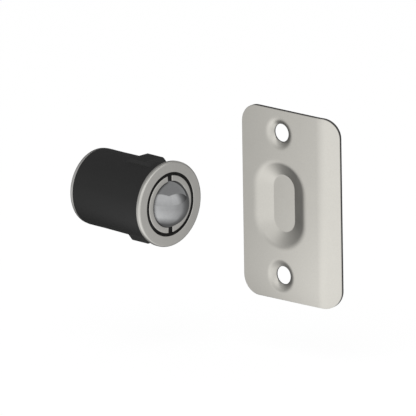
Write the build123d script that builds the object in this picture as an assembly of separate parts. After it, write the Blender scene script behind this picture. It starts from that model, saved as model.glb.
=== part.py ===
# Ball catch with its strike plate, in millimetres.
# The barrel lies along X with the ball at its +X end, and Z is up in the door.
# The origin is the centre of the face ring's front, the plane that sits flush with the door's edge.
# Behind that plane x is negative. The barrel is built up from the ball outwards.

from build123d import *
from math import atan2, cos, radians, sin, sqrt, tan
import os

# Ball
BALL_D = 14.288
BALL_PROUD = 4.85
BALL_GAP = 0.10

# Adjuster: the slotted, screwed tube that holds the ball
ADJUSTER_WALL = 1.30
ADJUSTER_LENGTH = 23.9
MOUTH_CHAMFER = 0.12
SLOT_WIDTH = 1.6
SLOT_DEPTH = 1.9

# Plug that closes the adjuster's back and carries the spring
PLUG_T = 1.1
PLUG_RIM = 0.45
PLUG_GAP = 0.05
BACK_LIP_T = 0.5
BOSS_HEIGHT = 2.0
BOSS_GAP = 0.25

# Spring
WIRE_D = 1.1
COIL_GAP = 1.5
COIL_TURNS = 6
SPRING_GAP = 0.05

# Case: the metal tube with the face ring at its front
THREAD_GAP = 0.05
RELIEF_GAP = 0.98
RELIEF_DEPTH = 4.0
CASE_WALL = 0.78
RING_T = 1.5
RING_OVERHANG = 1.05
RING_CHAMFER = 0.15

# Sleeve: the black moulded body around the case
SLEEVE_GAP = 0.05
SLEEVE_WALL_BACK = 1.00
SLEEVE_WALL_FRONT = 1.29
LAND_LENGTH = 6.0

# Two lugs on the sleeve, above and below, that bite into the door
LUG_WIDTH = 6.9
LUG_RISE = 0.75
LUG_CREST = 6.2
LUG_SLOPE = 1.2
LUG_SETBACK = 5.0
LUG_ROUND = 0.3

# Cap that closes the back and keeps the sleeve on
CAP_T = 1.2
CAP_STEP = 0.10
CAP_CHAMFER = 0.3
SPIGOT_LENGTH = 1.6
SPIGOT_WALL = 1.5
SPIGOT_GAP = 0.02

# Travel of the adjuster into the case, and what is left behind it then
ADJUST_IN = 3.0
END_GAP = 0.4

# Strike plate
PLATE_T = 1.3
PLATE_HEIGHT = 57.15
FLAT_WIDTH = 28.575
CORNER_R = 5.7
BEND_R = 10.9
LIP_ANGLE = 16.5
LIP_LENGTH = 4.4

# Pocket pressed into the plate for the ball
POCKET_DEPTH = 1.95
FLOOR_WIDTH = 8.1
FLOOR_HEIGHT = 17.15
POCKET_SPREAD = 4.55
POCKET_ROUND = 4.6
POCKET_BACK_ROUND = 1.2

# Countersunk screw holes with a soft mouth, formed back behind the plate
SCREW_PITCH = 42.86
HOLE_D = 5.4
SINK_SPREAD = 1.30
SINK_DEPTH = 1.20
SINK_ROUND = 3.4
HOLE_LAND = 0.4

# The most of a sloping wall that the rounding at its mouth may take
ROUND_SHARE = 0.9

# Place of the plate beside the barrel, with its front turned away from -Y about Z
PLATE_X = 23.94
PLATE_Y = 21.0
PLATE_TURN = 4.0

# Sizes that follow from the ball outwards
ball_r = BALL_D / 2
ball_x = BALL_PROUD - ball_r
cavity_r = ball_r + BALL_GAP
adjuster_r = cavity_r + ADJUSTER_WALL
mouth_r = sqrt(cavity_r**2 - ball_x**2)
thread_r = adjuster_r + THREAD_GAP
relief_r = adjuster_r + RELIEF_GAP
case_r = relief_r + CASE_WALL
sleeve_bore_r = case_r + SLEEVE_GAP
sleeve_back_r = sleeve_bore_r + SLEEVE_WALL_BACK
sleeve_front_r = sleeve_bore_r + SLEEVE_WALL_FRONT
ring_r = sleeve_front_r + RING_OVERHANG
lug_r = sleeve_front_r + LUG_RISE

# Places along the barrel, from the front
adjuster_back = -ADJUSTER_LENGTH
spigot_front = adjuster_back - ADJUST_IN - END_GAP
sleeve_back = spigot_front - SPIGOT_LENGTH
barrel_back = sleeve_back - CAP_T
plug_back = adjuster_back + BACK_LIP_T + PLUG_GAP
plug_front = plug_back + PLUG_T

# Spring, between the plug's face and the back of the ball
wire_r = WIRE_D / 2
coil_r = cavity_r - COIL_GAP - wire_r
coil_back = plug_front + SPRING_GAP + wire_r
coil_front = ball_x - sqrt((ball_r + wire_r + SPRING_GAP) ** 2 - coil_r**2)
boss_r = coil_r - wire_r - BOSS_GAP


def turned(*points):
    """A solid of revolution about the barrel's axis, from (x, radius) corners."""
    outline = Polyline(*[(x, 0, r) for x, r in points], close=True)
    return revolve(make_face(outline), Axis.X)


def rod(radius, x_low, x_high):
    """A plain round bar on the barrel's axis."""
    return turned((x_low, 0), (x_low, radius), (x_high, radius), (x_high, 0))


def bevel(part, x, radius, length):
    """Chamfer the round edge that lies at this place along the barrel and has this radius."""
    near = 0.01
    edges = part.edges().filter_by(GeomType.CIRCLE)
    edges = edges.filter_by(lambda e: abs(e.center().X - x) < near and abs(e.radius - radius) < near)
    return chamfer(edges, length)


def make_ball():
    return Pos(ball_x, 0, 0) * Sphere(ball_r)


def make_adjuster():
    """Screwed tube: domed inside its mouth to hold the ball, grooved at its back for the plug."""
    tube = rod(adjuster_r, adjuster_back, 0)
    bore = rod(cavity_r, adjuster_back, ball_x) + Pos(ball_x, 0, 0) * Sphere(cavity_r)
    groove_r = cavity_r + PLUG_RIM + PLUG_GAP
    groove = rod(groove_r, adjuster_back + BACK_LIP_T, plug_front + PLUG_GAP)
    tube = bevel(tube - bore - groove, 0, mouth_r, MOUTH_CHAMFER)
    slot = Pos(-SLOT_DEPTH / 2, 0, 0) * Box(SLOT_DEPTH, SLOT_WIDTH, 2 * adjuster_r)
    return tube - slot


def make_plug():
    """Disc held in the adjuster's groove, with a boss that centres the spring."""
    rim_r = cavity_r + PLUG_RIM
    return rod(rim_r, plug_back, plug_front) + rod(boss_r, plug_front, plug_front + BOSS_HEIGHT)


def make_spring():
    """Round wire coiled about the barrel's axis."""
    length = coil_front - coil_back
    path = Helix(length / COIL_TURNS, length, coil_r, center=(coil_back, 0, 0), direction=(1, 0, 0))
    wire = Plane(origin=path @ 0, z_dir=path % 0) * Circle(wire_r)
    return sweep(wire, path=path, is_frenet=True)


def make_case():
    """Tube with a wide face ring, relieved behind the ring and threaded from there back."""
    body = rod(ring_r, -RING_T, 0) + rod(case_r, sleeve_back, -RING_T)
    body = body - rod(thread_r, sleeve_back, 0) - rod(relief_r, -RELIEF_DEPTH, 0)
    body = bevel(body, 0, ring_r, RING_CHAMFER)
    return bevel(body, 0, relief_r, RING_CHAMFER)


def make_lug():
    """A flat-topped block with sloping ends, on top of the sleeve."""
    crest_front = -LUG_SETBACK - LUG_SLOPE
    crest_back = crest_front - LUG_CREST
    base_z = sleeve_bore_r
    run = LUG_SLOPE * (lug_r - base_z) / (lug_r - sleeve_back_r)
    corners = [
        (crest_front, 0, lug_r),
        (crest_back, 0, lug_r),
        (crest_back - run, 0, base_z),
        (crest_front + run, 0, base_z),
    ]
    side = make_face(Polyline(*corners, close=True))
    block = extrude(side, LUG_WIDTH / 2, both=True)
    top = block.faces().sort_by(Axis.Z)[-1]
    return fillet(top.edges(), LUG_ROUND)


def make_sleeve():
    """Moulded sleeve: straight at its back, widening to the face ring, with two lugs."""
    body = turned(
        (sleeve_back, 0),
        (sleeve_back, sleeve_back_r),
        (sleeve_back + LAND_LENGTH, sleeve_back_r),
        (-RING_T, sleeve_front_r),
        (-RING_T, 0),
    )
    lug = make_lug()
    body = body + lug + lug.mirror(Plane.XY)
    return body - rod(sleeve_bore_r, sleeve_back, -RING_T)


def make_cap():
    """Closed cap: a disc over the sleeve's back with a hollow spigot in the case's bore."""
    cap_r = sleeve_back_r - CAP_STEP
    spigot_r = thread_r - SPIGOT_GAP
    disc = bevel(rod(cap_r, barrel_back, sleeve_back), barrel_back, cap_r, CAP_CHAMFER)
    spigot = rod(spigot_r, sleeve_back, spigot_front) - rod(spigot_r - SPIGOT_WALL, sleeve_back, spigot_front)
    return disc + spigot


# Strike plate, drawn flat: x runs from the plain edge to the lip, y from the front to the back


def half_section(points, corner, radius):
    """Half of a pressed form's section, from (distance from its middle, depth), one corner rounded."""
    face = make_face(Polyline(*points, close=True))
    return fillet(face.vertices().sort_by_distance(corner)[0], radius)


def pressed(half, straight):
    """A form pressed into the plate: its half section turned about both ends of a straight length."""
    end = revolve(half, Axis.Y)
    middle = extrude(half + mirror(half, about=Plane.YZ), straight / 2, both=True)
    return middle + Pos(0, 0, straight / 2) * end + Pos(0, 0, -straight / 2) * end


def make_pocket():
    """The ball's pocket: the hollow, and the sheet pushed back behind it at an even thickness."""
    floor = FLOOR_WIDTH / 2
    mouth = floor + POCKET_SPREAD
    edge = mouth + POCKET_ROUND
    back = POCKET_DEPTH + PLATE_T
    shift = PLATE_T * tan(atan2(POCKET_DEPTH, POCKET_SPREAD) / 2)
    front = [(0, -PLATE_T), (edge, -PLATE_T), (edge, 0), (mouth, 0), (floor, POCKET_DEPTH), (0, POCKET_DEPTH)]
    hollow = half_section(front, (mouth, 0), POCKET_ROUND)
    rear = [(0, 0), (edge, 0), (edge, PLATE_T), (mouth + shift, PLATE_T), (floor + shift, back), (0, back)]
    bulge = half_section(rear, (mouth + shift, PLATE_T), POCKET_ROUND - PLATE_T)
    bulge = fillet(bulge.vertices().sort_by_distance((floor + shift, back))[0], POCKET_BACK_ROUND)
    straight = FLOOR_HEIGHT - FLOOR_WIDTH
    return pressed(hollow, straight), pressed(bulge, straight)


def make_screw_hole():
    """A screw's countersink with its through hole, and the sheet formed back around them."""
    hole = HOLE_D / 2
    mouth = hole + SINK_SPREAD
    lean = atan2(SINK_DEPTH, SINK_SPREAD)
    wall = sqrt(SINK_DEPTH**2 + SINK_SPREAD**2)
    mouth_round = min(SINK_ROUND, ROUND_SHARE * wall / tan(lean / 2))
    edge = mouth + mouth_round
    depth = SINK_DEPTH + HOLE_LAND
    root = mouth + PLATE_T * tan(lean / 2)
    tip = root - (depth - PLATE_T) / tan(lean)
    front = [
        (0, -PLATE_T),
        (edge, -PLATE_T),
        (edge, 0),
        (mouth, 0),
        (hole, SINK_DEPTH),
        (hole, depth),
        (0, depth),
    ]
    sink = half_section(front, (mouth, 0), mouth_round)
    boss = Polyline((0, 0), (root, 0), (root, PLATE_T), (tip, depth), (0, depth), close=True)
    return revolve(sink, Axis.Y), revolve(make_face(boss), Axis.Y)


def make_sheet():
    """The bare plate: a flat with its lip bent back in a wide curve, and rounded corners."""
    bend = radians(LIP_ANGLE)
    outer = BEND_R + PLATE_T

    def on_bend(radius, angle):
        return (FLAT_WIDTH + radius * sin(angle), outer - radius * cos(angle))

    def on_lip(start):
        return (start[0] + LIP_LENGTH * cos(bend), start[1] + LIP_LENGTH * sin(bend))

    front_end = on_lip(on_bend(outer, bend))
    back_end = on_lip(on_bend(BEND_R, bend))
    outline = [
        Line((0, 0), (FLAT_WIDTH, 0)),
        ThreePointArc((FLAT_WIDTH, 0), on_bend(outer, bend / 2), on_bend(outer, bend)),
        Line(on_bend(outer, bend), front_end),
        Line(front_end, back_end),
        Line(back_end, on_bend(BEND_R, bend)),
        ThreePointArc(on_bend(BEND_R, bend), on_bend(BEND_R, bend / 2), (FLAT_WIDTH, PLATE_T)),
        Line((FLAT_WIDTH, PLATE_T), (0, PLATE_T)),
        Line((0, PLATE_T), (0, 0)),
    ]
    sheet = extrude(make_face(outline), PLATE_HEIGHT / 2, both=True)
    width = front_end[0]
    corners = Plane.XZ * Pos(width / 2, 0) * RectangleRounded(width, PLATE_HEIGHT, CORNER_R)
    return sheet & extrude(corners, 2 * width, both=True)


def make_strike_plate():
    """Plate with its pocket between two screw holes, set in its place beside the barrel."""
    middle = FLAT_WIDTH / 2
    hollow, bulge = make_pocket()
    sink, boss = make_screw_hole()
    plate = make_sheet() + Pos(middle, 0, 0) * bulge
    for side in (1, -1):
        plate = plate + Pos(middle, 0, side * SCREW_PITCH / 2) * boss
    plate = plate - Pos(middle, 0, 0) * hollow
    for side in (1, -1):
        plate = plate - Pos(middle, 0, side * SCREW_PITCH / 2) * sink
    return Pos(PLATE_X, PLATE_Y, 0) * Rot(0, 0, PLATE_TURN) * Pos(-middle, 0, 0) * plate


PIECES = {
    "ball": make_ball,
    "adjuster": make_adjuster,
    "spring_plug": make_plug,
    "ball_spring": make_spring,
    "face_case": make_case,
    "sleeve": make_sleeve,
    "rear_cap": make_cap,
    "strike_plate": make_strike_plate,
}

os.makedirs("parts", exist_ok=True)
for name, make in PIECES.items():
    export_step(make(), f"parts/{name}.step")
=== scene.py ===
# %% [markdown]
# # Ball catch: a door catch and its strike plate
#
# This lesson dresses a finished construction model of a ball catch. The catch is a barrel that sits in a
# hole in a door's edge. A sprung steel ball looks out of its front, and a plate on the door frame catches
# it. The construction model is the fixed frame: every piece made here goes where the frame says, and rides
# on one of its bodies. Sizes of the object are in millimetres, and MM turns them into metres. Sizes of the
# studio are in metres.

# %% Load the frame
from math import atan2, cos, pi, radians, sin, sqrt, tan

import bmesh
import bpy
from mathutils import Matrix, Vector
from mathutils.geometry import delaunay_2d_cdt


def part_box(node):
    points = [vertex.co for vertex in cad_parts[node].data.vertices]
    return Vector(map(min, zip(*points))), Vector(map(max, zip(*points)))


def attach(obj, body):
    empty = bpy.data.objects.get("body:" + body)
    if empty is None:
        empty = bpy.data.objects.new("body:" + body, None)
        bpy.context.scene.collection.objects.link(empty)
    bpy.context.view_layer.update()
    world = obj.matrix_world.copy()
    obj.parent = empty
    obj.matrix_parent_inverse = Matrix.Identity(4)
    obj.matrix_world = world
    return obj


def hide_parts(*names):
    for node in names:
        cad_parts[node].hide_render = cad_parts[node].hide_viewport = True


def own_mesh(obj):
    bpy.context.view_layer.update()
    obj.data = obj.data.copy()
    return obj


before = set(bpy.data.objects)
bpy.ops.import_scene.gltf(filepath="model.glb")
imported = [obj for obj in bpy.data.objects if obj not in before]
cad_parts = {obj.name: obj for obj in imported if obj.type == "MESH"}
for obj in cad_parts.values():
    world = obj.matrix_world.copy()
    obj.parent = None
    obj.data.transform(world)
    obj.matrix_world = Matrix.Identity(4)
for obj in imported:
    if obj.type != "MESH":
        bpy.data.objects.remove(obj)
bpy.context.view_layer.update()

print("nodes:", sorted(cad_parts))

# %% [markdown]
# ## The camera
#
# The view is a product shot from the front, a little above. The object's parallel edges stay parallel in
# it, so the camera is orthographic: a long lens from far away gives almost the same look. Its turn, height
# and a small roll are angles, and its width follows from how many pixels a millimetre takes. The camera is
# then shifted sideways and up, so that the centre of the face ring lands on the pixel RING_PX.

# %% Camera
MM = 0.001
VIEW_TURN = radians(45.5)
VIEW_HEIGHT = radians(15.4)
VIEW_ROLL = radians(0.84)
PICTURE_PX = 416
PX_PER_MM = 3.447
RING_PX = (169.9, 203.8)
CAMERA_DISTANCE = 0.30
NEAREST = 0.01
FARTHEST = 10

across = Vector((cos(VIEW_TURN), sin(VIEW_TURN), 0))
upward = Vector((-sin(VIEW_TURN) * sin(VIEW_HEIGHT), cos(VIEW_TURN) * sin(VIEW_HEIGHT), cos(VIEW_HEIGHT)))
backward = across.cross(upward)
right = cos(VIEW_ROLL) * across - sin(VIEW_ROLL) * upward
top = sin(VIEW_ROLL) * across + cos(VIEW_ROLL) * upward

middle_px = (PICTURE_PX - 1) / 2
side = (middle_px - RING_PX[0]) / PX_PER_MM * MM
lift = (RING_PX[1] - middle_px) / PX_PER_MM * MM
place = side * right + lift * top + CAMERA_DISTANCE * backward

camera_data = bpy.data.cameras.new("camera")
camera_data.type = "ORTHO"
camera_data.ortho_scale = PICTURE_PX / PX_PER_MM * MM
camera_data.clip_start = NEAREST
camera_data.clip_end = FARTHEST
camera = bpy.data.objects.new("camera", camera_data)
camera.matrix_world = Matrix((
    (right.x, top.x, backward.x, place.x),
    (right.y, top.y, backward.y, place.y),
    (right.z, top.z, backward.z, place.z),
    (0, 0, 0, 1),
))
bpy.context.scene.collection.objects.link(camera)
bpy.context.scene.camera = camera
bpy.context.scene.view_settings.view_transform = "Standard"
print("picture width, mm:", round(camera_data.ortho_scale / MM, 2))


# %% [markdown]
# ## Node helpers
#
# Every finish below is a small network of nodes. Written out in full, such a network hides its idea under
# its wiring, so a few helpers do the wiring. Most of them add one node, join what goes in and return the
# output, so they can be nested like a formula.

# %% Adding and joining nodes
def new_material(name):
    """A material with its Principled shader, ready for nodes."""
    material = bpy.data.materials.new(name)
    material.use_nodes = True
    tree = material.node_tree
    return material, tree, tree.nodes["Principled BSDF"]


def add_node(tree, kind, inputs=None, **settings):
    """A node of this kind, with its settings and the values of its inputs."""
    node = tree.nodes.new(kind)
    for key, value in settings.items():
        setattr(node, key, value)
    for key, value in (inputs or {}).items():
        node.inputs[key].default_value = value
    return node


def join(tree, source, output, target, socket):
    """Joins an output of one node to an input of another."""
    tree.links.new(source.outputs[output], target.inputs[socket])


def grey(tone):
    """A grey colour of this tone, from 0 to 1."""
    return (tone, tone, tone, 1)


print("middle grey:", grey(0.5))


# %% Sums and ranges
def calc(tree, operation, *values):
    """A sum on up to three values. Each is a number, or an output of another node."""
    node = add_node(tree, "ShaderNodeMath", operation=operation)
    for place, value in enumerate(values):
        if isinstance(value, (int, float)):
            node.inputs[place].default_value = value
        else:
            tree.links.new(value, node.inputs[place])
    return node.outputs[0]


def remap(tree, value, start, end, before, after):
    """Goes evenly from before to after, while the value goes from start to end. It stays level outside."""
    node = add_node(tree, "ShaderNodeMapRange", {
        "From Min": start,
        "From Max": end,
        "To Min": before,
        "To Max": after,
    })
    tree.links.new(value, node.inputs["Value"])
    return node.outputs[0]


# %% Mixed and scaled colours
COLOUR_INPUTS = (6, 7)
COLOUR_OUTPUT = 2


def blend(tree, share, first, second):
    """A colour between two. Each is a colour, or an output of another node."""
    node = add_node(tree, "ShaderNodeMix", data_type="RGBA")
    tree.links.new(share, node.inputs[0])
    for socket, value in zip(COLOUR_INPUTS, (first, second)):
        if isinstance(value, tuple):
            node.inputs[socket].default_value = value
        else:
            tree.links.new(value, node.inputs[socket])
    return node.outputs[COLOUR_OUTPUT]


def scaled(tree, colour, share):
    """A colour times a number. Both are outputs of other nodes."""
    node = add_node(tree, "ShaderNodeVectorMath", operation="SCALE")
    tree.links.new(colour, node.inputs[0])
    tree.links.new(share, node.inputs["Scale"])
    return node.outputs[0]


# %% Places and noise
NOISE_DETAIL = 4
NOISE_ROUGHNESS = 0.6


def spot_in(tree, space="Object"):
    """Where a point lies on its object, or with Generated in the world, the way that a ray goes."""
    return add_node(tree, "ShaderNodeTexCoord").outputs[space]


def split(tree, spot):
    """The x, y and z of a place."""
    node = add_node(tree, "ShaderNodeSeparateXYZ")
    tree.links.new(spot, node.inputs[0])
    return tuple(node.outputs[axis] for axis in "XYZ")


def noise(tree, spot, scale, roughness=NOISE_ROUGHNESS):
    """Noise from 0 to 1, finer as the scale grows."""
    settings = {"Scale": scale, "Detail": NOISE_DETAIL, "Roughness": roughness}
    node = add_node(tree, "ShaderNodeTexNoise", settings)
    tree.links.new(spot, node.inputs["Vector"])
    return node.outputs["Fac"]


print("noise, detail and roughness:", NOISE_DETAIL, NOISE_ROUGHNESS)

# %% [markdown]
# ## The studio that the metal shows
#
# Satin metal looks like what stands around it, so the studio is half of the finish. Real flags could be
# modelled as sheets, but each would need its place tried by eye. Here they are tones that depend only on
# the direction, counted round in degrees from -Y towards +X, and a colour ramp blends between them. The
# room and the floor are bright towards the camera, darker at the sides and darkest behind the object.

# %% Studio tones
ROOM_FLAGS = {
    -180: 0.10, -134: 0.08, -100: 0.10, -68: 0.25, -40: 0.43, -20: 0.68, 3: 0.85, 60: 0.85,
    78: 0.83, 85: 0.87, 112: 0.86, 124: 0.66, 138: 0.34, 150: 0.22, 165: 0.12, 180: 0.10,
}
FLOOR_FLAGS = {
    -180: 0.08, -136: 0.06, -105: 0.03, -80: 0.04, -60: 0.26, -45: 0.54, -36: 0.58, -31: 0.63,
    -26: 0.62, -15: 0.69, -5: 0.80, 12: 0.88, 32: 0.80, 60: 0.73, 85: 0.68, 110: 0.54, 129: 0.45,
    136: 0.36, 146: 0.23, 155: 0.17, 180: 0.08,
}


def tone_by_turn(tree, x, y, flags):
    """The studio's tone, from 0 to 1, in the direction of x and y. The flags go from -180 to 180."""
    turn = calc(tree, "ARCTAN2", x, calc(tree, "MULTIPLY", y, -1))
    ramp = add_node(tree, "ShaderNodeValToRGB")
    stops = ramp.color_ramp.elements
    first, *between, last = flags
    for turn_deg in between:
        stops.new((turn_deg + 180) / 360)
    for stop, turn_deg in zip(stops, [first, *between, last]):
        stop.color = grey(flags[turn_deg])
    share = calc(tree, "MULTIPLY_ADD", turn, 1 / (2 * pi), 0.5)
    tree.links.new(share, ramp.inputs["Fac"])
    return ramp.outputs["Color"]


def white_for_the_eye(tree, shade, tone, share):
    """Mixes in the background: plain white for the camera and glass, and the studio's tones for metal."""
    path = add_node(tree, "ShaderNodeLightPath")
    straight = calc(tree, "MAXIMUM", path.outputs["Is Camera Ray"], path.outputs["Is Transmission Ray"])
    seen = calc(tree, "MAXIMUM", straight, path.outputs["Is Glossy Ray"])
    glow = add_node(tree, "ShaderNodeEmission", {"Strength": 1.0})
    tree.links.new(blend(tree, straight, tone, grey(1)), glow.inputs["Color"])
    mix = add_node(tree, "ShaderNodeMixShader")
    tree.links.new(calc(tree, "MULTIPLY", seen, share), mix.inputs[0])
    join(tree, shade, 0, mix, 1)
    join(tree, glow, 0, mix, 2)
    return mix


print("flags, room and floor:", len(ROOM_FLAGS), len(FLOOR_FLAGS))

# %% [markdown]
# ## The floor
#
# The floor is plain and pale. The camera sees it almost as pure white, with a little of its own shading left
# in, so that it keeps the object's soft shadow. A plain white floor would show as flat white in the metal
# too, so in a mirror this one shows the flags instead. They are a little brighter nearer the object, and
# fade to a dark grey right under it, where a real floor lies in its shade.

# %% Floor
FLOOR_Z = -0.045
FLOOR_HALF = 3.0
FLOOR_PAINT = 0.9
FLOOR_ROUGHNESS = 0.9
FLOOR_WHITE_SHARE = 0.93
FLAG_CENTRE_X = -0.010
NEAR_TONE = 0.13
NEAR_REACH = 0.037
GLOW = 1.20
GLOW_FULL_AT = 0.050
GLOW_REACH = 0.130


def make_sheet(name, corners):
    """One flat four-sided sheet from its corners."""
    mesh = bpy.data.meshes.new(name)
    mesh.from_pydata(corners, [], [(0, 1, 2, 3)])
    sheet = bpy.data.objects.new(name, mesh)
    bpy.context.scene.collection.objects.link(sheet)
    return sheet


signs = ((-1, -1), (1, -1), (1, 1), (-1, 1))
floor = make_sheet("floor", [(x * FLOOR_HALF, y * FLOOR_HALF, FLOOR_Z) for x, y in signs])
print("floor at z, mm:", FLOOR_Z / MM)

# %% Floor paint
paint, tree, shader = new_material("floor_paint")
shader.inputs["Base Color"].default_value = grey(FLOOR_PAINT)
shader.inputs["Roughness"].default_value = FLOOR_ROUGHNESS

spot_x, spot_y, _ = split(tree, spot_in(tree))
from_centre_x = calc(tree, "SUBTRACT", spot_x, FLAG_CENTRE_X)
flags = tone_by_turn(tree, from_centre_x, spot_y, FLOOR_FLAGS)
square_y = calc(tree, "MULTIPLY", spot_y, spot_y)
away = calc(tree, "SQRT", calc(tree, "MULTIPLY_ADD", from_centre_x, from_centre_x, square_y))
brighter = scaled(tree, flags, remap(tree, away, GLOW_FULL_AT, GLOW_REACH, GLOW, 1))
tone = blend(tree, remap(tree, away, 0, NEAR_REACH, 1, 0), brighter, grey(NEAR_TONE))
mixed = white_for_the_eye(tree, shader, tone, FLOOR_WHITE_SHARE)
join(tree, mixed, 0, tree.nodes["Material Output"], "Surface")
floor.data.materials.append(paint)
print("nodes in the floor paint:", len(tree.nodes))

# %% [markdown]
# ## The room
#
# The world lights the object from all sides at a plain level. What a mirror sees of it is richer: its walls
# have the room's flags and are a little brighter higher up, and it has a grey ceiling panel, whose edges
# show in the polished ball. The panel could be a real sheet, but then it would also shade the object. A
# direction becomes a place on that ceiling when its x and y are divided by its z, so straight edges on the
# ceiling are simple limits on those two numbers.

# %% Room walls
WALL_LOW = 0.88
WALL_HIGH = 1.06
WALL_RISE = 0.5

world = bpy.data.worlds.new("studio")
world.use_nodes = True
bpy.context.scene.world = world
tree = world.node_tree

way_x, way_y, way_z = split(tree, spot_in(tree, "Generated"))
flags = tone_by_turn(tree, way_x, way_y, ROOM_FLAGS)
walls = scaled(tree, flags, remap(tree, way_z, 0, WALL_RISE, WALL_LOW, WALL_HIGH))
print("walls, low and high:", WALL_LOW, WALL_HIGH)

# %% Ceiling panel
CEILING_TONE = 0.39
CEILING_FRONT_TURN = radians(27.8)
CEILING_FRONT = -0.729
CEILING_LEFT = -0.90
CEILING_RIGHT = 0.99
CEILING_SOFTNESS = 0.05
LEAST_RISE = 0.001


def soft_step(tree, value, edge, before, after):
    """One number before an edge of the ceiling and another after it, with a soft change."""
    return remap(tree, value, edge - CEILING_SOFTNESS, edge + CEILING_SOFTNESS, before, after)


rise = calc(tree, "MAXIMUM", way_z, LEAST_RISE)
over_x = calc(tree, "DIVIDE", way_x, rise)
over_y = calc(tree, "DIVIDE", way_y, rise)
along_front = calc(tree, "MULTIPLY", over_x, -sin(CEILING_FRONT_TURN))
behind_front = calc(tree, "MULTIPLY_ADD", over_y, cos(CEILING_FRONT_TURN), along_front)
inside_left = soft_step(tree, over_x, CEILING_LEFT, 0, 1)
inside_right = soft_step(tree, over_x, CEILING_RIGHT, 1, 0)
inside_front = soft_step(tree, behind_front, CEILING_FRONT, 0, 1)
panel = calc(tree, "MULTIPLY", calc(tree, "MULTIPLY", inside_left, inside_right), inside_front)
all_round = blend(tree, panel, walls, grey(CEILING_TONE))
print("ceiling panel, tone:", CEILING_TONE)

# %% Room light
ROOM_STRENGTH = 0.9

room = tree.nodes["Background"]
room.inputs["Color"].default_value = grey(1)
room.inputs["Strength"].default_value = ROOM_STRENGTH
mixed = white_for_the_eye(tree, room, all_round, 1.0)
join(tree, mixed, 0, tree.nodes["World Output"], "Surface")
print("room light, strength:", ROOM_STRENGTH)

# %% [markdown]
# ## The lamp
#
# The room alone would light the object without any direction. One wide lamp above, on the viewer's side,
# gives the shadow its place and keeps it soft. Mirrors don't show the lamp, because the flags already are
# what the metal shows.

# %% Lamp
LAMP_PLACE = (0.15, -0.35, 0.80)
LAMP_SIZE = 0.7
LAMP_POWER = 4.0

lamp_data = bpy.data.lights.new("soft_lamp", "AREA")
lamp_data.size = LAMP_SIZE
lamp_data.energy = LAMP_POWER
lamp = bpy.data.objects.new("soft_lamp", lamp_data)
lamp.location = LAMP_PLACE
lamp.rotation_euler = (-Vector(LAMP_PLACE)).to_track_quat("-Z", "Y").to_euler()
lamp.visible_glossy = False
bpy.context.scene.collection.objects.link(lamp)
print("lamp at, m:", LAMP_PLACE)


# %% [markdown]
# ## Satin nickel
#
# The plate, the ring, the adjuster and the cap are steel with satin nickel plating. The metal is soft and a
# little warm. What shows is a gentle mottle, and a fine tooth that spreads the reflections. One flat colour
# and roughness would look like plastic, so two noise textures vary them. Both tint the colour. The wide one
# also varies the sheen, and the fine one raises the surface. The ring's tooth is stretched, as brushing
# leaves it.

# %% Skin of a finish
def set_skin(tree, shader, colour, sheen, height, bump, depth):
    """Joins a colour and a roughness to the shader, and lets a height raise its surface."""
    lumps = add_node(tree, "ShaderNodeBump", {"Strength": bump, "Distance": depth})
    tree.links.new(height, lumps.inputs["Height"])
    tree.links.new(colour, shader.inputs["Base Color"])
    tree.links.new(sheen, shader.inputs["Roughness"])
    join(tree, lumps, 0, shader, "Normal")


def shade_colour(material, share_from):
    """Multiplies the material's colour by the share that a function makes in its tree."""
    tree = material.node_tree
    base = tree.nodes["Principled BSDF"].inputs["Base Color"]
    colour = base.links[0].from_socket
    tree.links.new(scaled(tree, colour, share_from(tree)), base)


# %% Satin nickel
NICKEL = (0.68, 0.662, 0.614, 1)
NICKEL_PALE = (0.82, 0.80, 0.742, 1)
RING_NICKEL = (0.68, 0.667, 0.633, 1)
RING_NICKEL_PALE = (0.82, 0.805, 0.764, 1)
CAP_NICKEL = (0.78, 0.77, 0.75, 1)
CAP_NICKEL_PALE = (0.86, 0.85, 0.83, 1)
EVEN_GRAIN = (900, 900, 900)
RING_GRAIN = (900, 1500, 500)
MOTTLE_SCALE = 160
MOTTLE_ROUGHNESS = 0.55
TOOTH_SCALE = 2.2
TOOTH_DEPTH = 0.02 * MM
SHEEN_SPREAD = 0.06


def satin_nickel(name, roughness, dark=NICKEL, pale=NICKEL_PALE, grain=EVEN_GRAIN, bump=0.12):
    """Satin nickel between two tints, with its tooth stretched by the grain."""
    material, tree, shader = new_material(name)
    spot = spot_in(tree)
    mottle = noise(tree, spot, MOTTLE_SCALE, MOTTLE_ROUGHNESS)
    stretch = add_node(tree, "ShaderNodeMapping", {"Scale": grain})
    tree.links.new(spot, stretch.inputs["Vector"])
    tooth = noise(tree, stretch.outputs[0], TOOTH_SCALE)
    both = calc(tree, "MULTIPLY_ADD", tooth, 0.5, calc(tree, "MULTIPLY", mottle, 0.5))
    tint = blend(tree, both, dark, pale)
    sheen = remap(tree, mottle, 0, 1, roughness - SHEEN_SPREAD, roughness + SHEEN_SPREAD)
    set_skin(tree, shader, tint, sheen, tooth, bump, TOOTH_DEPTH)
    shader.inputs["Metallic"].default_value = 1.0
    return material


plate_nickel = satin_nickel("plate_nickel", roughness=0.31)
ring_nickel = satin_nickel(
    "ring_nickel", roughness=0.32, dark=RING_NICKEL, pale=RING_NICKEL_PALE, grain=RING_GRAIN, bump=0.16
)
cap_nickel = satin_nickel("cap_nickel", roughness=0.30, dark=CAP_NICKEL, pale=CAP_NICKEL_PALE)
print("satin nickel:", [m.name for m in (plate_nickel, ring_nickel, cap_nickel)])

# %% [markdown]
# ## Painted light on the plate
#
# The strike plate is painted a little paler towards its lip. This is painted light: the plate's right side
# and its lip look brighter in the light, and that brightness is put into the colour. A painted mask could do
# it, but the change runs evenly across the whole plate. So the colour is multiplied by a share that grows
# along X.

# %% Painted light on the plate
PAINTED_LIGHT_FROM_X = 10 * MM
PAINTED_LIGHT_TO_X = 40 * MM
PAINTED_DIM_SHARE = 0.93
PAINTED_BRIGHT_SHARE = 1.08


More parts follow.
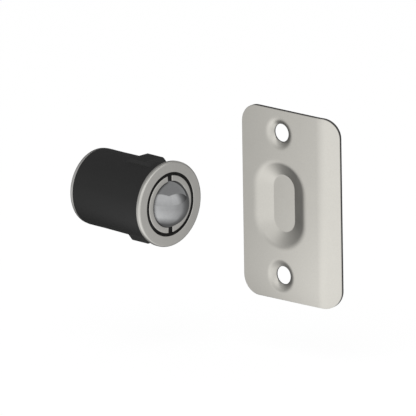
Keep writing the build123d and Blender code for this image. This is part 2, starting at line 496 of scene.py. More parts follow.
def painted_light_share(tree):
    """The painted light's share of the colour along X, from the plate's plain side to its lip."""
    x, _, _ = split(tree, spot_in(tree))
    return remap(tree, x, PAINTED_LIGHT_FROM_X, PAINTED_LIGHT_TO_X, PAINTED_DIM_SHARE, PAINTED_BRIGHT_SHARE)


# Painted light: the plate's colour grows paler towards its lip.
shade_colour(plate_nickel, painted_light_share)
print("share at the plain side and the lip:", PAINTED_DIM_SHARE, PAINTED_BRIGHT_SHARE)

# %% [markdown]
# ## Plastic, painted shade, steel and brass
#
# The sleeve is moulded in black plastic with a fine matt texture. The ball is polished, with faint hairline
# marks. The thread, the case's bore and the slot get a near-black finish with no metallic share: painted
# shade, which stands in for the shadow deep in the gap round the adjuster and in the slot. The cut edges of
# the sheet are dull steel, where little plating reaches, painted darker still as shade on those narrow
# faces.
# The spring is drawn wire, and the small plug behind it is turned brass. One noise is enough for each of
# these, because none of them has a grain that shows.

# %% Plain finishes
PIT_DEPTH = 0.03 * MM
DARKEST_SHARE = 0.8
PAINTED_SHADE_SPECULAR = 0.3


def plain_finish(name, colour, roughness, scale=1500, bump=0.2, spread=0.04, metallic=1.0):
    """A finish with fine noise in its roughness, tint and surface."""
    material, tree, shader = new_material(name)
    fine = noise(tree, spot_in(tree), scale)
    darker = tuple(DARKEST_SHARE * c for c in colour)
    tint = blend(tree, fine, (*darker, 1), (*colour, 1))
    sheen = remap(tree, fine, 0, 1, roughness - spread, roughness + spread)
    set_skin(tree, shader, tint, sheen, fine, bump, PIT_DEPTH)
    shader.inputs["Metallic"].default_value = metallic
    return material


black_plastic = plain_finish(
    "black_plastic", (0.009, 0.009, 0.009), roughness=0.45, scale=2600, bump=0.35, metallic=0.0
)
polished_steel = plain_finish(
    "polished_steel", (0.51, 0.515, 0.52), roughness=0.06, scale=700, bump=0.02, spread=0.015
)
# Painted shade: a near-black finish for the case's bore, the adjuster's thread and the slot.
painted_shade_finish = plain_finish("painted_shade_finish", (0.006, 0.0055, 0.005), roughness=0.55, metallic=0.0)
# Dull cut steel, painted far darker than bare steel as shade on the narrow rim and hole walls.
cut_steel_and_painted_shade = plain_finish("cut_steel_and_painted_shade", (0.17, 0.167, 0.16), roughness=0.45)
spring_wire = plain_finish("spring_wire", (0.40, 0.40, 0.41), roughness=0.3)
plug_brass = plain_finish("plug_brass", (0.60, 0.43, 0.18), roughness=0.3)

painted_shade_shader = painted_shade_finish.node_tree.nodes["Principled BSDF"]
painted_shade_shader.inputs["Specular IOR Level"].default_value = PAINTED_SHADE_SPECULAR
print("materials so far:", len(bpy.data.materials))

# %% [markdown]
# ## Painted shade round the ball
#
# Painted shade darkens the ball's colour where it meets the tube's mouth, for the shadow in the narrow gap
# there. Painted on the ball, it would roll away with it. An ambient occlusion node measures how much of the
# room a point can see past its neighbours, so the shade stays in the mouth while the ball rolls under it.

# %% Painted shade round the ball
PAINTED_SHADE_REACH = 1.6 * MM
PAINTED_SHADE_FULL = 0.66
PAINTED_SHADE_ENDS = 0.88
PAINTED_SHADE_TONE = 0.16
PAINTED_SHADE_SAMPLES = 8


def unshaded_share(tree):
    """The share of the colour that the painted shade leaves, from how open the point lies."""
    settings = {"Distance": PAINTED_SHADE_REACH}
    node = add_node(tree, "ShaderNodeAmbientOcclusion", settings, samples=PAINTED_SHADE_SAMPLES)
    return remap(tree, node.outputs["AO"], PAINTED_SHADE_FULL, PAINTED_SHADE_ENDS, PAINTED_SHADE_TONE, 1)


# Painted shade: the ball's colour darkens where the mouth hems it in.
shade_colour(polished_steel, unshaded_share)
print("grease reaches, mm:", PAINTED_SHADE_REACH / MM)

# %% [markdown]
# ## Turned pieces
#
# Most of the barrel is turned: a closed outline swept once round the axis. A screw modifier could sweep it,
# but mesh code can also bend the radius on the way, which the adjuster's thread needs. Real turned edges are
# never quite sharp, and the thin bright line along an edge comes from that small rounding. So the outline's
# corners get arcs before it is turned.

# %% Rounded outlines
ARC_STEPS = 5


def rounded(points, closed=True, steps=ARC_STEPS):
    """Outline points from (a, b, radius) corners, with an arc in place of each corner that has a radius."""
    line = []
    count = len(points)
    for place, (a, b, radius) in enumerate(points):
        corner = Vector((a, b))
        at_end = not closed and place in (0, count - 1)
        if radius == 0 or at_end:
            line.append(corner)
            continue
        back = (Vector(points[place - 1][:2]) - corner).normalized()
        ahead = (Vector(points[(place + 1) % count][:2]) - corner).normalized()
        half_angle = back.angle(ahead) / 2
        centre = corner + (back + ahead).normalized() * radius / sin(half_angle)
        reach = radius / tan(half_angle)
        start, end = corner + reach * back - centre, corner + reach * ahead - centre
        for step in range(steps + 1):
            line.append(centre + radius * start.lerp(end, step / steps).normalized())
    return line


print("points in a rounded square:", len(rounded([(0, 0, 0.1), (1, 0, 0.1), (1, 1, 0.1), (0, 1, 0.1)])))

# %% Turning an outline
AXIS_TURNS = 192
ON_AXIS = 1e-6


def same_radius(x, radius, angle):
    """Leaves the outline's radius as it is."""
    return radius


def turn_outline(outline, turns=AXIS_TURNS, reshape=same_radius):
    """A closed outline of (x, radius) points in mm, turned about the barrel's axis."""
    builder = bmesh.new()
    rings = []
    for step in range(turns):
        angle = 2 * pi * step / turns
        ring = []
        for x, outline_r in outline:
            r = reshape(x, outline_r, angle)
            ring.append(builder.verts.new((x * MM, r * MM * cos(angle), r * MM * sin(angle))))
        rings.append(ring)
    count = len(outline)
    for step, ring in enumerate(rings):
        following = rings[(step + 1) % turns]
        for k in range(count):
            m = (k + 1) % count
            if outline[k][1] < ON_AXIS and outline[m][1] < ON_AXIS:
                continue
            builder.faces.new((ring[k], ring[m], following[m], following[k]))
    return builder


print("angle between two rings, degrees:", 360 / AXIS_TURNS)


# %% Second finish
def second_finish(builder, wanted):
    """Gives the second finish to the faces whose middle, as (x, radius) in mm, is wanted."""
    chosen = 0
    for face in builder.faces:
        middle = face.calc_center_median() / MM
        if wanted(middle.x, sqrt(middle.y**2 + middle.z**2)):
            face.material_index = 1
            chosen += 1
    print("faces with the second finish:", chosen)


# %% [markdown]
# ## From a mesh to a piece
#
# Each mesh becomes an object that rides on one of the frame's bodies and stands for a node of the
# construction model. Smooth shading alone would bend the light on flat faces next to a rounding. Weighted
# normals keep the flat faces flat. Mirrors don't show the pieces: in the view that this lesson follows, the
# plate shows the bright studio and no dark barrel.

# %% Pieces from meshes
WELD_DISTANCE = 1e-7
FLAT_WEIGHT = 80


def even_normals(piece):
    """Keeps flat faces flat in the shading, right up to their rounded edges."""
    even = piece.modifiers.new("even_normals", "WEIGHTED_NORMAL")
    even.weight = FLAT_WEIGHT


def finish_piece(name, builder, finishes, body, slot, *nodes):
    """Makes the object: even normals, its finishes, the body it rides on and the nodes it stands for."""
    bmesh.ops.remove_doubles(builder, verts=builder.verts, dist=WELD_DISTANCE)
    bmesh.ops.recalc_face_normals(builder, faces=builder.faces)
    mesh = bpy.data.meshes.new(name)
    builder.to_mesh(mesh)
    builder.free()
    mesh.shade_smooth()
    for finish in finishes:
        mesh.materials.append(finish)
    piece = bpy.data.objects.new(name, mesh)
    bpy.context.scene.collection.objects.link(piece)
    even_normals(piece)
    piece.visible_glossy = False
    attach(piece, body)
    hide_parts(*nodes)
    print(name, "faces", len(mesh.polygons))
    return piece


# %% [markdown]
# ## Sizes inside the barrel
#
# The pieces of the barrel sit in each other like nested cups. Only a few sizes drive them: the ball, the
# tube that holds it and the plug behind it come from the frame, and each cup is one of these plus a gap or a
# wall. Typed in one by one, they could come to cut into each other.

# %% Sizes inside the barrel
adjuster_low, adjuster_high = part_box("adjuster")
ball_low, ball_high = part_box("ball")
plug_low, plug_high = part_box("spring_plug")
BALL_R = (ball_high[2] - ball_low[2]) / 2 / MM
BALL_X = (ball_low[0] + ball_high[0]) / 2 / MM
ADJUSTER_R = adjuster_high[2] / MM
ADJUSTER_BACK = adjuster_low[0] / MM
PLUG_R = plug_high[2] / MM
PLUG_BACK = plug_low[0] / MM
PLUG_T = 1.1
BALL_GAP = 0.10
THREAD_GAP = 0.05
PLUG_GAP = 0.05
RELIEF_GAP = 0.98
CASE_WALL = 0.78
FINE_EDGE = 0.10

cavity_r = BALL_R + BALL_GAP
thread_r = ADJUSTER_R + THREAD_GAP
relief_r = ADJUSTER_R + RELIEF_GAP
case_r = relief_r + CASE_WALL
groove_r = PLUG_R + PLUG_GAP
print("radii, mm:", [round(r, 3) for r in (cavity_r, groove_r, ADJUSTER_R, thread_r, relief_r, case_r)])

# %% [markdown]
# ## The face ring and its case
#
# One turned piece: a wide flat ring that shows on the door's edge, and the tube behind it. The ring's front
# is relieved round the adjuster, which leaves the dark gap, so its bore has the painted shade finish, whose
# near-black colour stands in for the shadow in the gap. Its outer edge is rolled over softly, and that
# rounding catches the light at the left.

# %% Face ring and case
case_low, case_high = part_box("face_case")
RING_R = case_high[2] / MM
CASE_BACK = case_low[0] / MM
RING_T = 1.5
RELIEF_DEPTH = 4.0
RING_ROLL = 0.55
RING_BACK_ROLL = 0.30

case_outline = rounded([
    (0, relief_r, FINE_EDGE),
    (0, RING_R, RING_ROLL),
    (-RING_T, RING_R, RING_BACK_ROLL),
    (-RING_T, case_r, 0),
    (CASE_BACK, case_r, FINE_EDGE),
    (CASE_BACK, thread_r, FINE_EDGE),
    (-RELIEF_DEPTH, thread_r, FINE_EDGE),
    (-RELIEF_DEPTH, relief_r, 0),
])


def in_the_bore(x, r):
    """Whether a place is on the inside of the case, between its two rounded edges."""
    return CASE_BACK + FINE_EDGE < x < -FINE_EDGE and r < relief_r + FINE_EDGE / 2


builder = turn_outline(case_outline)
# The bore takes the painted shade finish.
second_finish(builder, in_the_bore)
finishes = [ring_nickel, painted_shade_finish]
finish_piece("face_ring_and_case", builder, finishes, "case", "satin_nickel", "face_case")
print("ring across, mm:", round(2 * RING_R, 2))

# %% [markdown]
# ## The adjuster
#
# A tube that screws in the case, with a fine right-hand thread of 1 mm pitch along its outside. Its mouth is
# domed inside to hold the ball. It is turned like the case, and the thread comes from the same turning: each
# point's radius follows a wave that moves on by one pitch in each turn. A bump map would be cheaper, but its
# edge would stay straight where the tube comes out of the ring.

# %% Thread of the adjuster
PITCH = 1.0
THREAD_DEPTH = 0.45
THREAD_INSET = 0.5
THREAD_FADE = 0.6
STEPS_PER_PITCH = 10
OUTSIDE_MARGIN = 0.001


def threaded(x, radius, angle):
    """The radius with the thread cut into the outside, fading out at both ends."""
    if radius < ADJUSTER_R - OUTSIDE_MARGIN:
        return radius
    from_end = min(-THREAD_INSET - x, x - ADJUSTER_BACK - THREAD_INSET)
    fade = min(max(from_end / THREAD_FADE, 0), 1)
    wave = (1 - cos(2 * pi * (x - THREAD_INSET) / PITCH - angle)) / 2
    return radius - THREAD_DEPTH * fade * wave


thread_length = -ADJUSTER_BACK - 2 * THREAD_INSET
thread_steps = round(thread_length / PITCH * STEPS_PER_PITCH)
thread_line = [
    (ADJUSTER_BACK + THREAD_INSET + thread_length * step / thread_steps, ADJUSTER_R, 0)
    for step in range(thread_steps + 1)
]
print("thread, mm:", round(thread_length, 2), "turns:", round(thread_length / PITCH, 1))

# %% Adjuster
BACK_LIP_T = 0.5
MOUTH_EDGE = 0.12
DOME_STEPS = 8
ADJUSTER_TURNS = 144

groove_front = PLUG_BACK + PLUG_T + PLUG_GAP
mouth_r = sqrt(cavity_r**2 - BALL_X**2)
mouth_angle = atan2(mouth_r, -BALL_X)
dome = []
for step in range(1, DOME_STEPS + 1):
    angle = mouth_angle + (pi / 2 - mouth_angle) * step / DOME_STEPS
    dome.append((BALL_X + cavity_r * cos(angle), cavity_r * sin(angle), 0))

adjuster_outline = rounded([
    (0, ADJUSTER_R, MOUTH_EDGE),
    (0, mouth_r, MOUTH_EDGE),
    *dome,
    (groove_front, cavity_r, 0),
    (groove_front, groove_r, 0),
    (ADJUSTER_BACK + BACK_LIP_T, groove_r, 0),
    (ADJUSTER_BACK + BACK_LIP_T, cavity_r, 0),
    (ADJUSTER_BACK, cavity_r, FINE_EDGE),
    (ADJUSTER_BACK, ADJUSTER_R, FINE_EDGE),
    *thread_line,
])
builder = turn_outline(adjuster_outline, ADJUSTER_TURNS, threaded)
# The thread behind the front edge takes the painted shade finish.
second_finish(builder, lambda x, r: x < -MOUTH_EDGE and r > groove_r + FINE_EDGE)
finishes = [ring_nickel, painted_shade_finish]
adjuster = finish_piece("slotted_adjuster", builder, finishes, "adjuster", "satin_nickel", "adjuster")

# %% [markdown]
# ## The adjuster's slot
#
# The tube's front is slotted for a wide screwdriver. A slot doesn't fit a turned outline, so a boolean cuts
# it with a bar. The bar flares at the front, which bevels the slot's edges. The faces of its deep part have
# the painted shade finish, and the cut takes them over as the slot's walls, painted dark for the shadow
# inside the slot.

# %% Joining two rings
def bridge(builder, first, second, finish=0):
    """Quads between two rings of as many points."""
    count = len(first)
    for k in range(count):
        m = (k + 1) % count
        face = builder.faces.new((first[k], first[m], second[m], second[k]))
        face.material_index = finish


# %% Bar for the slot
SLOT_WIDTH = 1.6
SLOT_DEPTH = 1.9
SLOT_EDGE = 0.09
BAR_TOP = 1.0
BAR_EXTRA = 1.0

half_slot = SLOT_WIDTH / 2
half_top = half_slot + SLOT_EDGE + BAR_TOP
bar_profile = [
    (-SLOT_DEPTH, -half_slot),
    (-SLOT_DEPTH, half_slot),
    (-SLOT_EDGE, half_slot),
    (BAR_TOP, half_top),
    (BAR_TOP, -half_top),
    (-SLOT_EDGE, -half_slot),
]
bar_end = ADJUSTER_R + BAR_EXTRA
builder = bmesh.new()
ends = []
for z in (-bar_end, bar_end):
    ends.append([builder.verts.new((x * MM, y * MM, z * MM)) for x, y in bar_profile])
bridge(builder, *ends)
for end in ends:
    builder.faces.new(end)
bmesh.ops.recalc_face_normals(builder, faces=builder.faces)
# The bar's deep faces carry the painted shade finish into the slot.
for face in builder.faces:
    face.material_index = 1 if face.calc_center_median().x < -SLOT_EDGE * MM else 0

bar_mesh = bpy.data.meshes.new("bar")
builder.to_mesh(bar_mesh)
builder.free()
for finish in adjuster.data.materials:
    bar_mesh.materials.append(finish)
bar = bpy.data.objects.new("bar", bar_mesh)
bpy.context.scene.collection.objects.link(bar)
print("bar length, mm:", round(2 * bar_end, 1))

# %% Cut the slot
adjuster.modifiers.clear()
cut = adjuster.modifiers.new("cut", "BOOLEAN")
cut.operation = "DIFFERENCE"
cut.solver = "EXACT"
cut.object = bar
cut_result = adjuster.evaluated_get(bpy.context.evaluated_depsgraph_get())
slotted = bpy.data.meshes.new_from_object(cut_result)
adjuster.modifiers.clear()
adjuster.data = slotted
slotted.shade_smooth()
even_normals(adjuster)
bpy.data.objects.remove(bar)
print("adjuster after the cut, faces", len(slotted.polygons), "finishes", len(slotted.materials))

# %% [markdown]
# ## The ball
#
# A polished ball shows every flaw in its mesh. A sphere made of rings and segments pinches at its poles, so
# this one starts as a finely divided cube, and all its points are pushed out to the same radius. The tangent
# spaces the points evenly in angle first, so its faces are of nearly one size everywhere.

# %% Ball
BALL_CUTS = 44

builder = bmesh.new()
bmesh.ops.create_cube(builder, size=1)
bmesh.ops.subdivide_edges(builder, edges=builder.edges, cuts=BALL_CUTS, use_grid_fill=True)
for vertex in builder.verts:
    spread = Vector([tan(c * pi / 2) for c in vertex.co])
    vertex.co = Vector((BALL_X * MM, 0, 0)) + spread.normalized() * BALL_R * MM
finish_piece("steel_ball", builder, [polished_steel], "ball", "polished_steel", "ball")

# %% [markdown]
# ## The spring
#
# The spring is a wire whose end turns lie close together, as on a real compression spring. The middle turns
# are open. A curve with a bevel could make the wire, but its ends would have to follow the two pitches by
# hand, so a loop places one ring of points after the other. The spring shortens when the ball is pressed in,
# and the mesh rides on the frame's spring body.

# %% Run of the coil
spring_low, spring_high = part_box("ball_spring")
WIRE_R = 0.55
END_TURNS = 1.0
OPEN_TURNS = 4.5

coil_r = spring_high[2] / MM - WIRE_R
coil_back = spring_low[0] / MM + WIRE_R
coil_front = spring_high[0] / MM - WIRE_R
end_pitch = 2 * WIRE_R
open_pitch = (coil_front - coil_back - 2 * END_TURNS * end_pitch) / OPEN_TURNS


def coil_place(turn):
    """How far along the barrel the wire is after this many turns."""
    first = min(turn, END_TURNS) * end_pitch
    middle_part = min(max(turn - END_TURNS, 0), OPEN_TURNS) * open_pitch
    last = max(turn - END_TURNS - OPEN_TURNS, 0) * end_pitch
    return coil_back + first + middle_part + last


print("open pitch, mm:", round(open_pitch, 2))

# %% Spring
WIRE_SIDES = 14
STEPS_PER_TURN = 40

builder = bmesh.new()
all_turns = 2 * END_TURNS + OPEN_TURNS
steps = int(all_turns * STEPS_PER_TURN)
rings = []
for step in range(steps + 1):
    turn = all_turns * step / steps
    angle = 2 * pi * turn
    outward = Vector((0, cos(angle), sin(angle)))
    centre = Vector((coil_place(turn), 0, 0)) + coil_r * outward
    ring = []
    for side in range(WIRE_SIDES):
        around = 2 * pi * side / WIRE_SIDES
        sideways = Vector((sin(around), 0, 0))
        point = centre + WIRE_R * (cos(around) * outward + sideways)
        ring.append(builder.verts.new(point * MM))
    rings.append(ring)
for ring, following in zip(rings, rings[1:]):
    bridge(builder, ring, following)
builder.faces.new(rings[0])
builder.faces.new(rings[-1])
spring = finish_piece("coil_spring", builder, [spring_wire], "spring", "spring_steel", "ball_spring")

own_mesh(spring)

# %% [markdown]
# ## The plug
#
# A small turned plug closes the back of the adjuster's tube, and its boss keeps the spring in the middle.
# Nothing of it shows from outside, so its outline has only its real steps and the edges' small roundings.

# %% Plug
BOSS_FRONT = plug_high[0] / MM
BOSS_R = 4.394
BOSS_EDGE = 0.3

plug_outline = rounded([
    (PLUG_BACK, 0, 0),
    (PLUG_BACK, PLUG_R, FINE_EDGE),
    (PLUG_BACK + PLUG_T, PLUG_R, FINE_EDGE),
    (PLUG_BACK + PLUG_T, BOSS_R, 0),
    (BOSS_FRONT, BOSS_R, BOSS_EDGE),
    (BOSS_FRONT, 0, 0),
])
builder = turn_outline(plug_outline)
finish_piece("brass_plug", builder, [plug_brass], "spring_carrier", "plug_brass", "spring_plug")

# %% [markdown]
# ## The rear cap
#
# A pressed metal cap closes the back, and its spigot fits the case's bore. From the front it shows only as a
# thin bright band at the far end of the sleeve, so its rim and the soft roll of its edge matter more than
# its face. It is turned like the ring.

# %% Rear cap
cap_low, cap_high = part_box("rear_cap")
CAP_R = cap_high[2] / MM
CAP_BACK = cap_low[0] / MM
SPIGOT_FRONT = cap_high[0] / MM
CAP_T = 1.2
CAP_ROLL = 0.35
SPIGOT_GAP = 0.02
SPIGOT_WALL = 1.5

spigot_r = thread_r - SPIGOT_GAP
spigot_bore_r = spigot_r - SPIGOT_WALL
cap_outline = rounded([
    (CAP_BACK, 0, 0),
    (CAP_BACK, CAP_R, CAP_ROLL),
    (CAP_BACK + CAP_T, CAP_R, FINE_EDGE),
    (CAP_BACK + CAP_T, spigot_r, 0),
    (SPIGOT_FRONT, spigot_r, FINE_EDGE),
    (SPIGOT_FRONT, spigot_bore_r, FINE_EDGE),
    (CAP_BACK + CAP_T, spigot_bore_r, 0),
    (CAP_BACK + CAP_T, 0, 0),
])
finish_piece("pressed_cap", turn_outline(cap_outline), [cap_nickel], "case", "satin_nickel", "rear_cap")

# %% [markdown]
# ## The strike plate
#
# A blanked and pressed sheet. Its pocket and screw holes are drawn in, so the sheet flows softly into them,
# and one side is bent back as a lip that the ball rides up. Booleans would leave sharp meeting lines there,
# so it is drawn as rings: each ring follows the pocket or a hole at one depth, and the flat between them is
# filled with triangles. Every point is then laid on the bent sheet by how far across and how deep it is. The
# pocket's walls reach a little further at its sides than at its ends. The cut rim and the holes' walls have
# the dull finish of cut steel, painted darker still as shade on those narrow faces.

# %% Plate sizes
PLATE_T = 1.3
PLATE_HEIGHT = 57.15
FLAT_WIDTH = 28.575
CORNER_R = 5.7
BEND_R = 10.9
LIP_ANGLE = radians(16.5)
LIP_LENGTH = 4.4
PLATE_X = 23.94
PLATE_Y = 21.0
PLATE_TURN = radians(4.0)
EDGE_ROUND = 0.16

bend_outer = BEND_R + PLATE_T
front_width = FLAT_WIDTH + bend_outer * sin(LIP_ANGLE) + LIP_LENGTH * cos(LIP_ANGLE)
back_width = FLAT_WIDTH + BEND_R * sin(LIP_ANGLE) + LIP_LENGTH * cos(LIP_ANGLE)
print("plate across from the front, mm:", round(front_width, 2))


# %% Laying points on the bent sheet
def bent(x, radius):
    """How far back a face of the sheet lies, on the flat, round the bend of this radius and on the lip."""
    past = x - FLAT_WIDTH
    if past <= 0:
        return bend_outer - radius
    end = radius * sin(LIP_ANGLE)
    if past <= end:
        return bend_outer - sqrt(radius**2 - past**2)
    return bend_outer - radius * cos(LIP_ANGLE) + (past - end) * tan(LIP_ANGLE)


def on_plate(x, z, depth):
    """The point of the plate at this place on its front and this deep into the sheet, in metres."""
    back_x = x
    if x > FLAT_WIDTH:
        back_x = FLAT_WIDTH + (x - FLAT_WIDTH) * (back_width - FLAT_WIDTH) / (front_width - FLAT_WIDTH)
    front = Vector((x, bent(x, bend_outer), z))
    back = Vector((back_x, bent(back_x, BEND_R), z))
    point = front + (back - front) * depth / PLATE_T
    x, y = point.x - FLAT_WIDTH / 2, point.y
    return Vector((
        (PLATE_X + x * cos(PLATE_TURN) - y * sin(PLATE_TURN)) * MM,
        (PLATE_Y + x * sin(PLATE_TURN) + y * cos(PLATE_TURN)) * MM,
        point.z * MM,
    ))


print("lip reaches back, mm:", round(bent(front_width, bend_outer), 2))

# %% [markdown]
# ## Rings of the plate
#
# Three functions give the rings: the plate's outline with its round corners, the pocket's long loop and a
# screw hole's circle. Each takes a distance, so the same function draws the wide ring on the flat and the
# narrow one deep in the sheet. Neighbouring rings then have as many points and can be bridged.

# %% Outline of the plate
CORNER_STEPS = 24
SIDE_STEP = 1.5


def outline_ring(inset):
    """The plate's outline, this far inside its edge: four corner arcs, with points along the straights."""
    half_w, half_h = front_width / 2 - inset, PLATE_HEIGHT / 2 - inset
    radius = CORNER_R - inset
    arcs = []
    for sign_x, sign_z, start in ((1, 1, 0), (-1, 1, 90), (-1, -1, 180), (1, -1, 270)):
        x, z = front_width / 2 + sign_x * (half_w - radius), sign_z * (half_h - radius)
        angles = [radians(start + 90 * step / CORNER_STEPS) for step in range(CORNER_STEPS + 1)]
        arcs.append([Vector((x + radius * cos(a), z + radius * sin(a))) for a in angles])
    ring = []
    for place, arc in enumerate(arcs):
        following = arcs[(place + 1) % len(arcs)]
        length = PLATE_HEIGHT if place % 2 else front_width
        span = int(length / SIDE_STEP)
        ring.extend(arc)
        ring.extend(arc[-1].lerp(following[0], k / span) for k in range(1, span))
    return ring


print("points in the outline:", len(outline_ring(0)))

# %% Rings of the pocket and the holes
POCKET_STEPS = 40
HOLE_STEPS = 64
FLOOR_R = 4.05
FLOOR_STRAIGHT = 9.05
SIDE_SHARE = 1.14
END_SHARE = 0.95
mid_x = FLAT_WIDTH / 2


def pocket_half_sizes(offset):
    """Half the pocket's width and the height of its round ends, this far outside its floor."""
    return FLOOR_R + SIDE_SHARE * offset, FLOOR_R + END_SHARE * offset


def pocket_ring(offset):
    """Points round the pocket, this far outside its floor, and a little further out at its sides."""
    half_w, half_h = pocket_half_sizes(offset)
    ring = []
    for sign, start in ((1, 0), (-1, 180)):
        for step in range(POCKET_STEPS + 1):
            angle = radians(start + 180 * step / POCKET_STEPS)
            z = sign * FLOOR_STRAIGHT / 2 + half_h * sin(angle)
            ring.append(Vector((mid_x + half_w * cos(angle), z)))
    return ring


def hole_ring(centre_z, radius):
    """Points round a screw hole."""
    angles = [2 * pi * step / HOLE_STEPS for step in range(HOLE_STEPS)]
    return [Vector((mid_x + radius * cos(a), centre_z + radius * sin(a))) for a in angles]


print("points round pocket and hole:", len(pocket_ring(0)), HOLE_STEPS)

# %% [markdown]
# ## Sections of the pocket and the screw holes
#
# A section says how deep the sheet lies at each distance from the pocket's floor or the hole's middle. The
# front and the back of the sheet have one each. The back's wall is shifted, so that the leaning wall keeps
# the sheet's thickness.

# %% Section of the pocket
POCKET_DEPTH = 1.95
POCKET_SPREAD = 4.55
POCKET_ROUND = 4.6
POCKET_BACK_ROUND = 1.2
FLOOR_ROUND = 0.6
FLOOR_INSET = 1.0
POCKET_MARGIN = 0.05

wall_lean = atan2(POCKET_DEPTH, POCKET_SPREAD)
wall_shift = PLATE_T * tan(wall_lean / 2)
pocket_reach = POCKET_SPREAD + POCKET_ROUND * tan(wall_lean / 2) + POCKET_MARGIN
pocket_front = rounded([
    (pocket_reach, 0, 0),
    (POCKET_SPREAD, 0, POCKET_ROUND),
    (0, POCKET_DEPTH, FLOOR_ROUND),
    (-FLOOR_INSET, POCKET_DEPTH, 0),
], closed=False)
pocket_back = rounded([
    (pocket_reach, PLATE_T, 0),
    (POCKET_SPREAD + wall_shift, PLATE_T, POCKET_ROUND - PLATE_T),
    (wall_shift, POCKET_DEPTH + PLATE_T, POCKET_BACK_ROUND),
    (-FLOOR_INSET, POCKET_DEPTH + PLATE_T, 0),
], closed=False)
print("pocket rings:", len(pocket_front))

# %% Section of a screw hole
SCREW_PITCH = 42.86
HOLE_R = 2.7
SINK_SPREAD = 1.30
SINK_DEPTH = 1.20
SINK_ROUND = 3.4
SINK_STEPS = 9
SINK_MARGIN = 0.1
TIP_ROUND = 0.1
HOLE_LAND = 0.4

sink_lean = atan2(SINK_DEPTH, SINK_SPREAD)
sink_mouth = HOLE_R + SINK_SPREAD
sink_root = sink_mouth + PLATE_T * tan(sink_lean / 2)
sink_reach = sink_mouth + SINK_ROUND * tan(sink_lean / 2) + SINK_MARGIN
hole_depth = SINK_DEPTH + HOLE_LAND
sink_tip = sink_root - (hole_depth - PLATE_T) / tan(sink_lean)
sink_front = rounded([
    (sink_reach, 0, 0),
    (sink_mouth, 0, SINK_ROUND),
    (HOLE_R, SINK_DEPTH, 0),
], closed=False, steps=SINK_STEPS)
sink_back = rounded([
    (sink_reach, PLATE_T, 0),
    (sink_root, PLATE_T, 0),
    (sink_tip, hole_depth, TIP_ROUND),
    (HOLE_R, hole_depth, 0),
], closed=False)
print("hole rings:", len(sink_front))

# %% [markdown]
# ## Filling the flat
#
# A constrained triangulation joins the outline, the pocket's ring and the two hole rings without adding
# points of its own. The lip bends only across X, so it also gets straight lines of points along the bend,
# and long thin triangles can't cut across it.

# %% Filling the flat
BEND_COLUMNS = 12
COLUMN_STEP = 2.5
COLUMN_END_GAP = 1.2
COLUMN_REACH = 1.5
CDT_EPSILON = 1e-6


def column_points(x, outer):
    """Points up the plate at this x, which stop short of its outline."""
    heights = [p.y for p in outer if abs(p.x - x) < COLUMN_REACH]
    limit = max(heights, default=PLATE_HEIGHT / 2) - COLUMN_END_GAP
    rows = int(2 * limit / COLUMN_STEP)
    return [Vector((x, -limit + 2 * limit * k / rows)) for k in range(rows + 1)]


def fill_flat(rings, columns):
    """Triangles between the plate's outline, which is the first ring, and the other rings."""
    points, edges, starts = [], [], []
    for ring in rings:
        first, count = len(points), len(ring)
        starts.append(first)
        points.extend(ring)
        edges.extend((first + k, first + (k + 1) % count) for k in range(count))
    for x in columns:
        column = column_points(x, rings[0])
        first = len(points)
        points.extend(column)
        edges.extend((first + k, first + k + 1) for k in range(len(column) - 1))
    found, _, faces, origins, _, _ = delaunay_2d_cdt(points, edges, [], 0, CDT_EPSILON)
    where = {old: new for new, old_ones in enumerate(origins) for old in old_ones}
    loops = [[where[start + k] for k in range(len(ring))] for start, ring in zip(starts, rings)]
    return found, faces, loops


print("columns on the bend:", BEND_COLUMNS + 1)


# %% Triangles of the flat
def inside_feature(point):
    """Whether a point of the flat lies in the pocket or in a screw hole."""
    beside = point.x - mid_x
    past_straight = max(abs(point.y) - FLOOR_STRAIGHT / 2, 0)
    half_w, half_h = pocket_half_sizes(pocket_reach)
    in_pocket = (beside / half_w) ** 2 + (past_straight / half_h) ** 2 < 1
    in_hole = sqrt(beside**2 + (abs(point.y) - SCREW_PITCH / 2) ** 2) < sink_reach
    return in_pocket or in_hole


def middle_of(face, points):
    """The middle of a face of the flat."""
    return sum((points[k] for k in face), Vector((0, 0))) / len(face)


bend_width = bend_outer * sin(LIP_ANGLE)
columns = [FLAT_WIDTH + bend_width * k / BEND_COLUMNS for k in range(BEND_COLUMNS + 1)]
hole_places = (SCREW_PITCH / 2, -SCREW_PITCH / 2)
flat_rings = [outline_ring(EDGE_ROUND), pocket_ring(pocket_reach)]
flat_rings += [hole_ring(centre_z, sink_reach) for centre_z in hole_places]
flat_points, flat_faces, loops = fill_flat(flat_rings, columns)
kept = [face for face in flat_faces if not inside_feature(middle_of(face, flat_points))]
print("flat triangles:", len(kept))


# %% [markdown]
# ## Building the plate
#
# Both faces of the sheet are built the same way, from the same flat triangles and their own sections. Rings
# round the rim then join the two faces, with a small rounding at each side of the cut wall.

# %% Faces of the plate
def add_ring(builder, ring, depth):
    """The points of a ring, laid on the sheet at this depth."""
    return [builder.verts.new(on_plate(p.x, p.y, depth)) for p in ring]


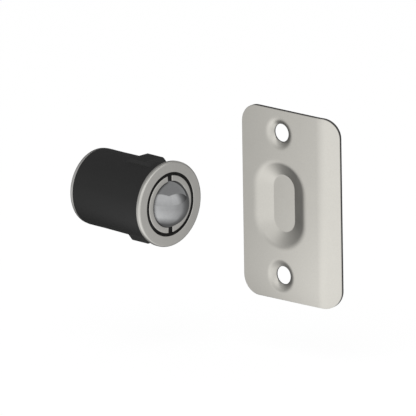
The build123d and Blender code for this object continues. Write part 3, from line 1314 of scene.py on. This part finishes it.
def add_side(builder, depth, pocket_section, sink_section):
    """One face of the sheet: its flat, pocket and hole walls. Returns its outline and its hole rings."""
    flat = add_ring(builder, flat_points, depth)
    for face in kept:
        builder.faces.new([flat[k] for k in face])
    outline, last, *hole_loops = [[flat[k] for k in loop] for loop in loops]
    for offset, deep in pocket_section[1:]:
        ring = add_ring(builder, pocket_ring(offset), deep)
        bridge(builder, last, ring)
        last = ring
    builder.faces.new(last)
    hole_rings = []
    for last, centre_z in zip(hole_loops, hole_places):
        for radius, deep in sink_section[1:]:
            ring = add_ring(builder, hole_ring(centre_z, radius), deep)
            bridge(builder, last, ring)
            last = ring
        hole_rings.append(last)
    return outline, hole_rings


builder = bmesh.new()
front_edge, front_holes = add_side(builder, 0, pocket_front, sink_front)
back_edge, back_holes = add_side(builder, PLATE_T, pocket_back, sink_back)
for ring, other in zip(front_holes, back_holes):
    bridge(builder, ring, other, finish=1)
print("points in both faces:", len(builder.verts))

# %% Rim of the plate
front_rim = []
for step in range(1, ARC_STEPS + 1):
    angle = pi / 2 * step / ARC_STEPS
    front_rim.append((EDGE_ROUND * (1 - sin(angle)), EDGE_ROUND * (1 - cos(angle))))
back_rim = [(inset, PLATE_T - deep) for inset, deep in reversed(front_rim)]

last = front_edge
for place, (inset, deep) in enumerate(front_rim + back_rim):
    ring = add_ring(builder, outline_ring(inset), deep)
    bridge(builder, last, ring, finish=1 if place == ARC_STEPS else 0)
    last = ring
bridge(builder, last, back_edge)
loose = [v for v in builder.verts if not v.link_faces]
bmesh.ops.delete(builder, geom=loose, context="VERTS")
# The rim and the holes' walls take the dark cut steel, which carries painted shade.
finishes = [plate_nickel, cut_steel_and_painted_shade]
finish_piece("pressed_strike_plate", builder, finishes, "case", "satin_nickel", "strike_plate")

# %% [markdown]
# ## The sleeve
#
# The black sleeve is a plain moulding, and the construction model already has its taper, its two lugs and
# their edges. A new mesh would only repeat them, so the node itself is kept, and it gets the moulded finish.
# Like the pieces, it isn't shown by mirrors.

# %% Dress the sleeve
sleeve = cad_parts["sleeve"]
sleeve.visible_glossy = False
sleeve.data.materials.clear()
sleeve.data.materials.append(black_plastic)
print("sleeve faces", len(sleeve.data.polygons))
